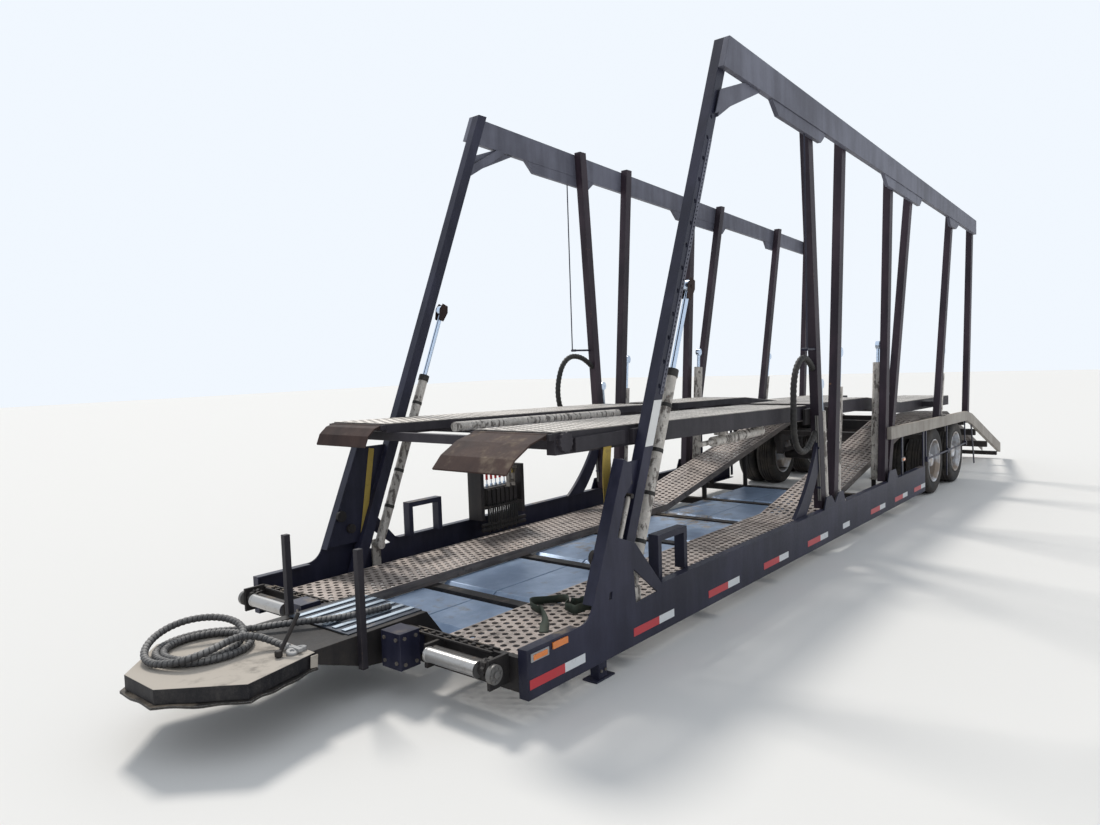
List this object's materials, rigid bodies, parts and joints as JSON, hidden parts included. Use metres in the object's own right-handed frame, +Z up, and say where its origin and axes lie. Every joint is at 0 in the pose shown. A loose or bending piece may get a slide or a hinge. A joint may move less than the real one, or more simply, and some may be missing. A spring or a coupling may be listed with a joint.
{
  "type": "car transporter semi-trailer",
  "caption": "Two-deck car carrier semi-trailer with raked lattice sides, low belly deck, hinged upper decks, twin-wheel rear axles and a flat kingpin nose.",
  "frame": {"origin": "on the ground, centre of the bounding box seen from above", "axes": "+X forward to the nose, +Y left, +Z up"},
  "size_m": [13.13, 2.59, 4.068],
  "materials": {
    "black_paint": "worn satin black",
    "dark_frame": "dusty dark steel",
    "deck_plate": "dusty perforated steel",
    "sheet_steel": "galvanised sheet",
    "tan_paint": "faded light paint",
    "nose_paint": "dusty worn paint",
    "rusty_plate": "rusty",
    "barrel_paint": "dirty white paint",
    "chrome_rod": "polished",
    "tyre_rubber": "worn rubber",
    "rim_steel": "dull light steel",
    "hose_rubber": "spiral wrapped",
    "red_lens": "red lens",
    "lever_red": "red grips"
  },
  "bodies": {
    "trailer_frame": {"axle_tubes": "dark_frame", "belly_sheets": "sheet_steel", "cross_members": "dark_frame", "cylinder_barrels": "barrel_paint", "front_rollers": "dark_frame", "front_runways": "deck_plate", "hose_coil": "hose_rubber", "hose_run": "hose_rubber", "kingpin": "nose_paint", "landing_feet": "black_paint", "left_post_hose": "hose_rubber", "left_sill": "black_paint", "neck_brackets": "black_paint", "neck_frame": "dark_frame", "nose_head": "nose_paint", "nose_stakes": "rusty_plate", "post_foot_plates": "black_paint", "post_stays": "black_paint", "rail_gussets": "black_paint", "raked_front_posts": "black_paint", "rear_frame": "dark_frame", "rear_posts": "black_paint", "rear_runways": "deck_plate", "ribbed_plate": "sheet_steel", "right_post_hose": "hose_rubber", "right_sill": "black_paint", "side_beams": "tan_paint", "suspension": "dark_frame", "tail_lamps": "red_lens", "top_rails": "black_paint", "u_brackets": "black_paint", "valve_bank": "dark_frame", "valve_levers": "lever_red", "wheel_guards": "black_paint"},
    "front_hanger": {"front_hanger": "dark_frame"},
    "front_deck": {"front_deck": "dark_frame", "front_deck_tracks": "deck_plate", "front_deck_ram": "barrel_paint"},
    "left_chute": {"left_chute": "rusty_plate"},
    "right_chute": {"right_chute": "rusty_plate"},
    "rear_hanger": {"rear_hanger": "dark_frame"},
    "rear_deck": {"rear_deck": "dark_frame", "rear_deck_tracks": "deck_plate"},
    "raked_post_rods": {"raked_post_rods": "chrome_rod"},
    "front_lift_rods": {"front_lift_rods": "chrome_rod"},
    "rear_lift_rods": {"rear_lift_rods": "chrome_rod"},
    "middle_lift_rods": {"middle_lift_rods": "chrome_rod"},
    "rear_tilt_rods": {"rear_tilt_rods": "chrome_rod"},
    "wheel_front_left": {"tyres_front_left": "tyre_rubber", "rims_front_left": "rim_steel"},
    "wheel_front_right": {"tyres_front_right": "tyre_rubber", "rims_front_right": "rim_steel"},
    "wheel_rear_left": {"tyres_rear_left": "tyre_rubber", "rims_rear_left": "rim_steel"},
    "wheel_rear_right": {"tyres_rear_right": "tyre_rubber", "rims_rear_right": "rim_steel"}
  },
  "joints": [
    {"name": "wheel_front_left_spin", "type": "hinge", "parent": "trailer_frame", "child": "wheel_front_left", "pos_m": [-2.675, 1, 0.419], "axis": [0, 1, 0], "continuous": true},
    {"name": "wheel_front_right_spin", "type": "hinge", "parent": "trailer_frame", "child": "wheel_front_right", "pos_m": [-2.675, -1, 0.419], "axis": [0, 1, 0], "continuous": true},
    {"name": "wheel_rear_left_spin", "type": "hinge", "parent": "trailer_frame", "child": "wheel_rear_left", "pos_m": [-3.765, 1, 0.419], "axis": [0, 1, 0], "continuous": true},
    {"name": "wheel_rear_right_spin", "type": "hinge", "parent": "trailer_frame", "child": "wheel_rear_right", "pos_m": [-3.765, -1, 0.419], "axis": [0, 1, 0], "continuous": true},
    {"name": "front_deck_lift", "type": "slide", "parent": "trailer_frame", "child": "front_hanger", "axis": [0.0655, 0, 0.9979], "range_m": [0, 1.1]},
    {"name": "front_deck_tilt", "type": "hinge", "parent": "front_hanger", "child": "front_deck", "pos_m": [1.225, 0, 1.262], "axis": [0, -1, 0], "range_deg": [0, 25]},
    {"name": "left_chute_hinge", "type": "hinge", "parent": "front_deck", "child": "left_chute", "pos_m": [4.761, 0, 1.41222], "axis": [0, -1, 0], "range_deg": [-35, 30]},
    {"name": "right_chute_hinge", "type": "hinge", "parent": "front_deck", "child": "right_chute", "pos_m": [4.601, 0, 1.4087], "axis": [0, -1, 0], "range_deg": [-20, 40]},
    {"name": "rear_deck_lift", "type": "slide", "parent": "trailer_frame", "child": "rear_hanger", "axis": [-0.0955, 0, 0.9954], "range_m": [0, 0.9]},
    {"name": "rear_deck_tilt", "type": "hinge", "parent": "rear_hanger", "child": "rear_deck", "pos_m": [0.665, 0, 1.24981], "axis": [0, 1, 0], "range_deg": [0, 12]},
    {"name": "raked_post_rod_slide", "type": "slide", "parent": "trailer_frame", "child": "raked_post_rods", "axis": [-0.3849, 0, 0.923], "range_m": [0, 0.6]},
    {"name": "front_lift_rod_slide", "type": "slide", "parent": "trailer_frame", "child": "front_lift_rods", "axis": [0.0655, 0, 0.9979], "range_m": [0, 0.55]},
    {"name": "rear_lift_rod_slide", "type": "slide", "parent": "trailer_frame", "child": "rear_lift_rods", "axis": [-0.0955, 0, 0.9954], "range_m": [0, 0.45]},
    {"name": "middle_lift_rod_slide", "type": "slide", "parent": "trailer_frame", "child": "middle_lift_rods", "axis": [-0.0874, 0, 0.9962], "range_m": [0, 0.45]},
    {"name": "rear_tilt_rod_slide", "type": "slide", "parent": "trailer_frame", "child": "rear_tilt_rods", "axis": [-0.2543, 0, 0.9671], "range_m": [0, 0.4]}
  ],
  "couplings": [
    {"joint": "front_lift_rod_slide", "follows": "front_deck_lift", "ratio": 0.5},
    {"joint": "rear_lift_rod_slide", "follows": "rear_deck_lift", "ratio": 0.5},
    {"joint": "middle_lift_rod_slide", "follows": "rear_deck_lift", "ratio": 0.5},
    {"joint": "raked_post_rod_slide", "follows": "front_deck_tilt", "m_per_rad": 1.35},
    {"joint": "rear_tilt_rod_slide", "follows": "rear_deck_tilt", "m_per_rad": 1.86}
  ]
}
